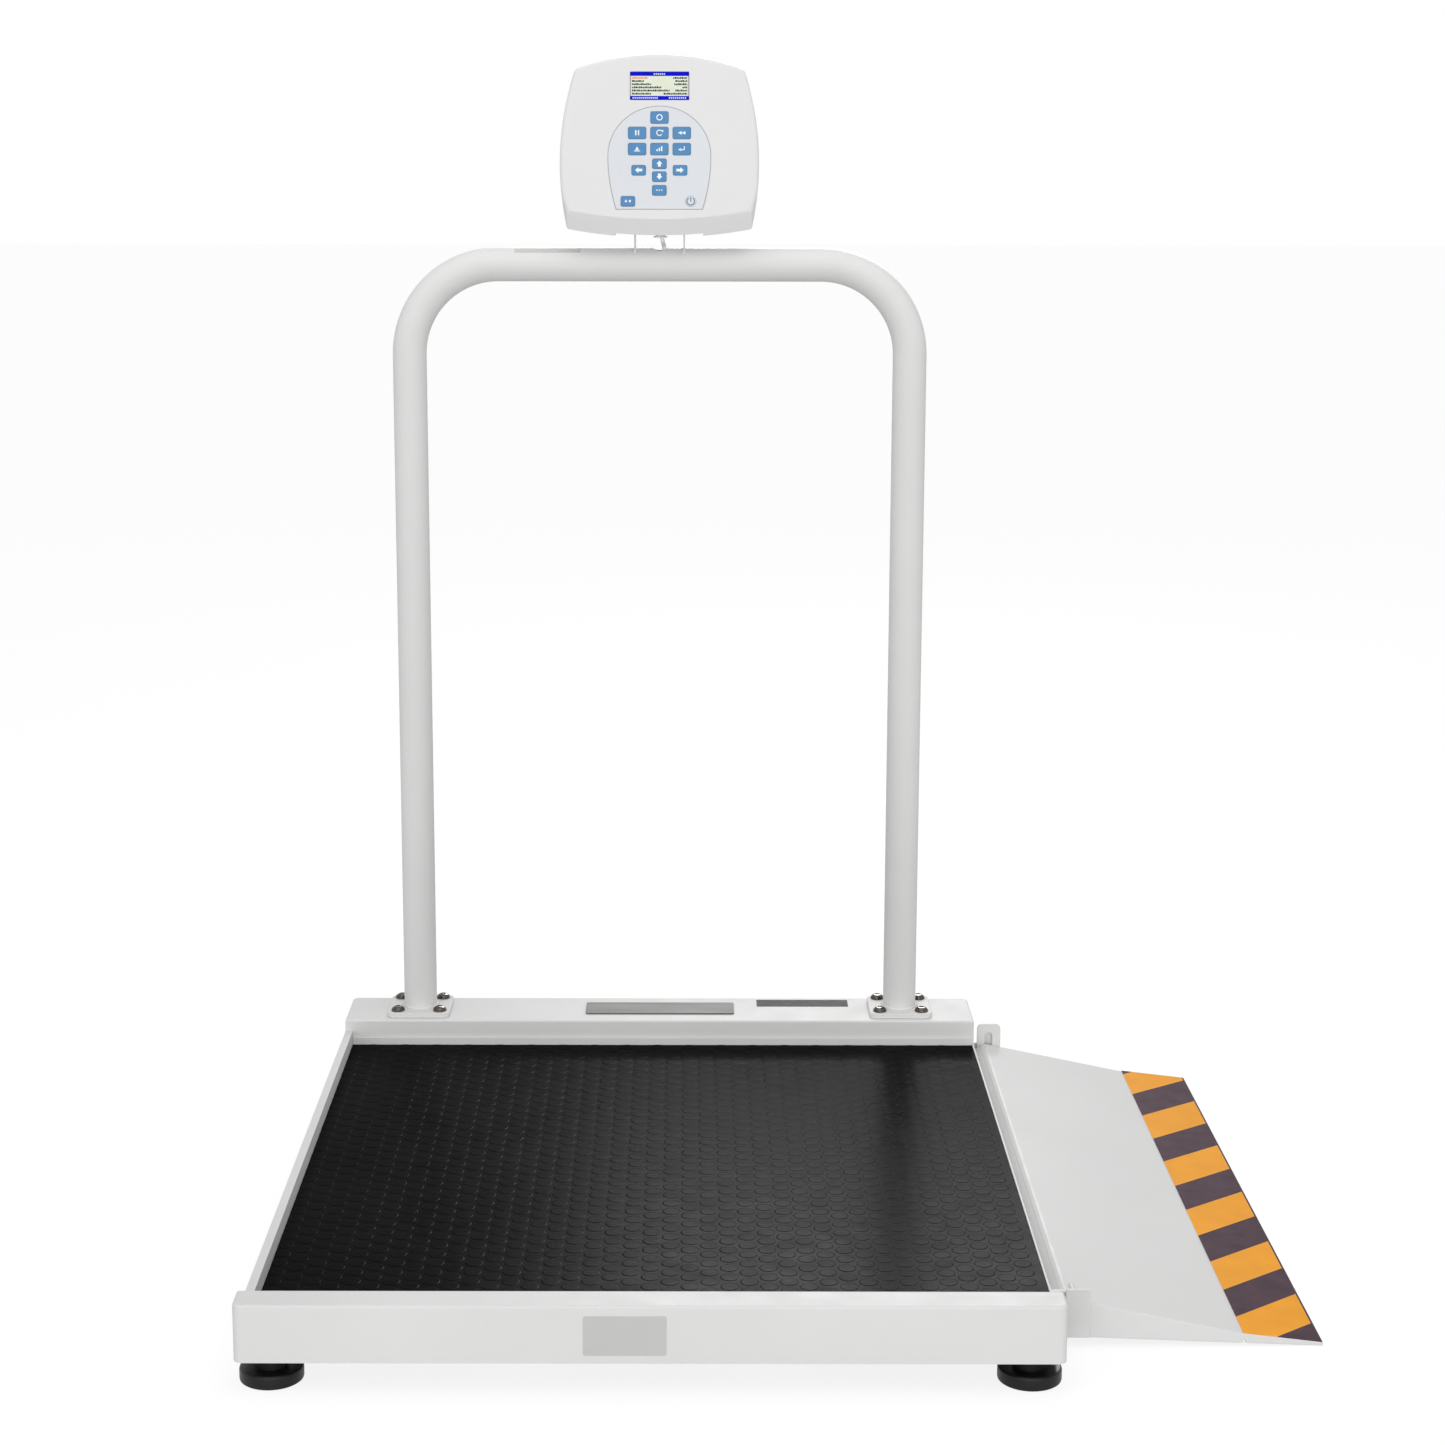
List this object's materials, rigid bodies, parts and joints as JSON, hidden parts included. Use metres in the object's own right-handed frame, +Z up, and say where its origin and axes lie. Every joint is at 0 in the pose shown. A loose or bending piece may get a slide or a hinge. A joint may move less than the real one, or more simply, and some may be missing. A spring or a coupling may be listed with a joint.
{
  "type": "wheelchair scale",
  "caption": "Floor weighing platform with a rubber mat, a hinged loading ramp, a rear handrail and a tilting display head with pressable keys.",
  "frame": {"origin": "middle of the footprint, feet to ramp tip, on the floor", "axes": "+Z up, +X towards the ramp, +Y back towards the handrail; the display faces -Y"},
  "size_m": [1.093, 0.984, 1.3132],
  "materials": {
    "powder_white": "satin powder coat",
    "zinc_steel": "zinc plated",
    "cell_aluminium": "machined",
    "stainless": "bright",
    "plate_silver": "brushed, bare",
    "mat_rubber": "studded, satin",
    "foot_rubber": "satin",
    "head_white": "fine satin",
    "panel_plastic": "smooth film",
    "key_blue": "smooth film",
    "display": "lit display behind clear plastic",
    "board_green": "solder mask",
    "grey_plastic": "fine grain",
    "cable_grey": "smooth jacket",
    "hazard_tape": "orange and black stripes"
  },
  "bodies": {
    "platform": {"front_rail": "powder_white", "rear_box": "powder_white", "side_rail_left": "powder_white", "side_rail_right": "powder_white", "deck_plate": "powder_white", "deck_mat": "mat_rubber", "deck_frame": "zinc_steel", "load_cell_front_left": "cell_aluminium", "load_cell_front_right": "cell_aluminium", "load_cell_rear_left": "cell_aluminium", "load_cell_rear_right": "cell_aluminium", "junction_box": "grey_plastic", "handrail_tube": "powder_white", "handrail_flange_left": "powder_white", "flange_bolt_left_1": "stainless", "flange_bolt_left_2": "stainless", "flange_bolt_left_3": "stainless", "flange_bolt_left_4": "stainless", "handrail_flange_right": "powder_white", "flange_bolt_right_1": "stainless", "flange_bolt_right_2": "stainless", "flange_bolt_right_3": "stainless", "flange_bolt_right_4": "stainless", "nameplate": "plate_silver", "ramp_hook_front": "powder_white", "ramp_hook_rear": "powder_white", "head_bracket_left": "powder_white", "head_bracket_right": "powder_white", "display_cable": "cable_grey"},
    "ramp": {"ramp_plate": "powder_white", "hazard_tape": "hazard_tape", "ramp_ear_front": "powder_white", "ramp_ear_rear": "powder_white"},
    "head": {"head_front_cover": "head_white", "head_back_cover": "head_white", "keypad_panel": "panel_plastic", "lcd_module": "display", "circuit_board": "board_green", "battery_door": "head_white", "battery_pack": "grey_plastic", "tilt_pin": "stainless", "cable_gland": "grey_plastic"},
    "key_zero_body": {"key_zero": "key_blue"},
    "key_hold_body": {"key_hold": "key_blue"},
    "key_reweigh_body": {"key_reweigh": "key_blue"},
    "key_recall_body": {"key_recall": "key_blue"},
    "key_tare_body": {"key_tare": "key_blue"},
    "key_index_body": {"key_index": "key_blue"},
    "key_enter_body": {"key_enter": "key_blue"},
    "key_up_body": {"key_up": "key_blue"},
    "key_left_body": {"key_left": "key_blue"},
    "key_right_body": {"key_right": "key_blue"},
    "key_down_body": {"key_down": "key_blue"},
    "key_help_body": {"key_help": "key_blue"},
    "key_unit_body": {"key_unit": "key_blue"},
    "key_power_body": {"key_power": "panel_plastic"},
    "foot_front_left_body": {"foot_front_left": "foot_rubber"},
    "foot_front_right_body": {"foot_front_right": "foot_rubber"},
    "foot_rear_left_body": {"foot_rear_left": "foot_rubber"},
    "foot_rear_right_body": {"foot_rear_right": "foot_rubber"}
  },
  "joints": [
    {"name": "ramp_fold", "type": "hinge", "parent": "platform", "child": "ramp", "pos_m": [0.29, 0.018, 0.0585], "axis": [0, -1, 0], "range_deg": [0, 100]},
    {"name": "head_tilt", "type": "hinge", "parent": "platform", "child": "head", "pos_m": [-0.1385, 0.4295, 1.12], "axis": [-1, 0, 0], "range_deg": [-15, 20], "deforming": ["display_cable"]},
    {"name": "key_zero_press", "type": "slide", "parent": "head", "child": "key_zero_body", "axis": [0, 0.9659, -0.2588], "range_m": [0, 0.0008], "stiffness_N_per_m": 700, "springref_m": -0.0004},
    {"name": "key_hold_press", "type": "slide", "parent": "head", "child": "key_hold_body", "axis": [0, 0.9659, -0.2588], "range_m": [0, 0.0008], "stiffness_N_per_m": 700, "springref_m": -0.0004},
    {"name": "key_reweigh_press", "type": "slide", "parent": "head", "child": "key_reweigh_body", "axis": [0, 0.9659, -0.2588], "range_m": [0, 0.0008], "stiffness_N_per_m": 700, "springref_m": -0.0004},
    {"name": "key_recall_press", "type": "slide", "parent": "head", "child": "key_recall_body", "axis": [0, 0.9659, -0.2588], "range_m": [0, 0.0008], "stiffness_N_per_m": 700, "springref_m": -0.0004},
    {"name": "key_tare_press", "type": "slide", "parent": "head", "child": "key_tare_body", "axis": [0, 0.9659, -0.2588], "range_m": [0, 0.0008], "stiffness_N_per_m": 700, "springref_m": -0.0004},
    {"name": "key_index_press", "type": "slide", "parent": "head", "child": "key_index_body", "axis": [0, 0.9659, -0.2588], "range_m": [0, 0.0008], "stiffness_N_per_m": 700, "springref_m": -0.0004},
    {"name": "key_enter_press", "type": "slide", "parent": "head", "child": "key_enter_body", "axis": [0, 0.9659, -0.2588], "range_m": [0, 0.0008], "stiffness_N_per_m": 700, "springref_m": -0.0004},
    {"name": "key_up_press", "type": "slide", "parent": "head", "child": "key_up_body", "axis": [0, 0.9659, -0.2588], "range_m": [0, 0.0008], "stiffness_N_per_m": 700, "springref_m": -0.0004},
    {"name": "key_left_press", "type": "slide", "parent": "head", "child": "key_left_body", "axis": [0, 0.9659, -0.2588], "range_m": [0, 0.0008], "stiffness_N_per_m": 700, "springref_m": -0.0004},
    {"name": "key_right_press", "type": "slide", "parent": "head", "child": "key_right_body", "axis": [0, 0.9659, -0.2588], "range_m": [0, 0.0008], "stiffness_N_per_m": 700, "springref_m": -0.0004},
    {"name": "key_down_press", "type": "slide", "parent": "head", "child": "key_down_body", "axis": [0, 0.9659, -0.2588], "range_m": [0, 0.0008], "stiffness_N_per_m": 700, "springref_m": -0.0004},
    {"name": "key_help_press", "type": "slide", "parent": "head", "child": "key_help_body", "axis": [0, 0.9659, -0.2588], "range_m": [0, 0.0008], "stiffness_N_per_m": 700, "springref_m": -0.0004},
    {"name": "key_unit_press", "type": "slide", "parent": "head", "child": "key_unit_body", "axis": [0, 0.9659, -0.2588], "range_m": [0, 0.0008], "stiffness_N_per_m": 700, "springref_m": -0.0004},
    {"name": "key_power_press", "type": "slide", "parent": "head", "child": "key_power_body", "axis": [0, 0.9659, -0.2588], "range_m": [0, 0.0008], "stiffness_N_per_m": 700, "springref_m": -0.0004},
    {"name": "foot_front_left_level", "type": "slide", "parent": "platform", "child": "foot_front_left_body", "axis": [0, 0, -1], "range_m": [0, 0.01]},
    {"name": "foot_front_right_level", "type": "slide", "parent": "platform", "child": "foot_front_right_body", "axis": [0, 0, -1], "range_m": [0, 0.01]},
    {"name": "foot_rear_left_level", "type": "slide", "parent": "platform", "child": "foot_rear_left_body", "axis": [0, 0, -1], "range_m": [0, 0.01]},
    {"name": "foot_rear_right_level", "type": "slide", "parent": "platform", "child": "foot_rear_right_body", "axis": [0, 0, -1], "range_m": [0, 0.01]}
  ]
}
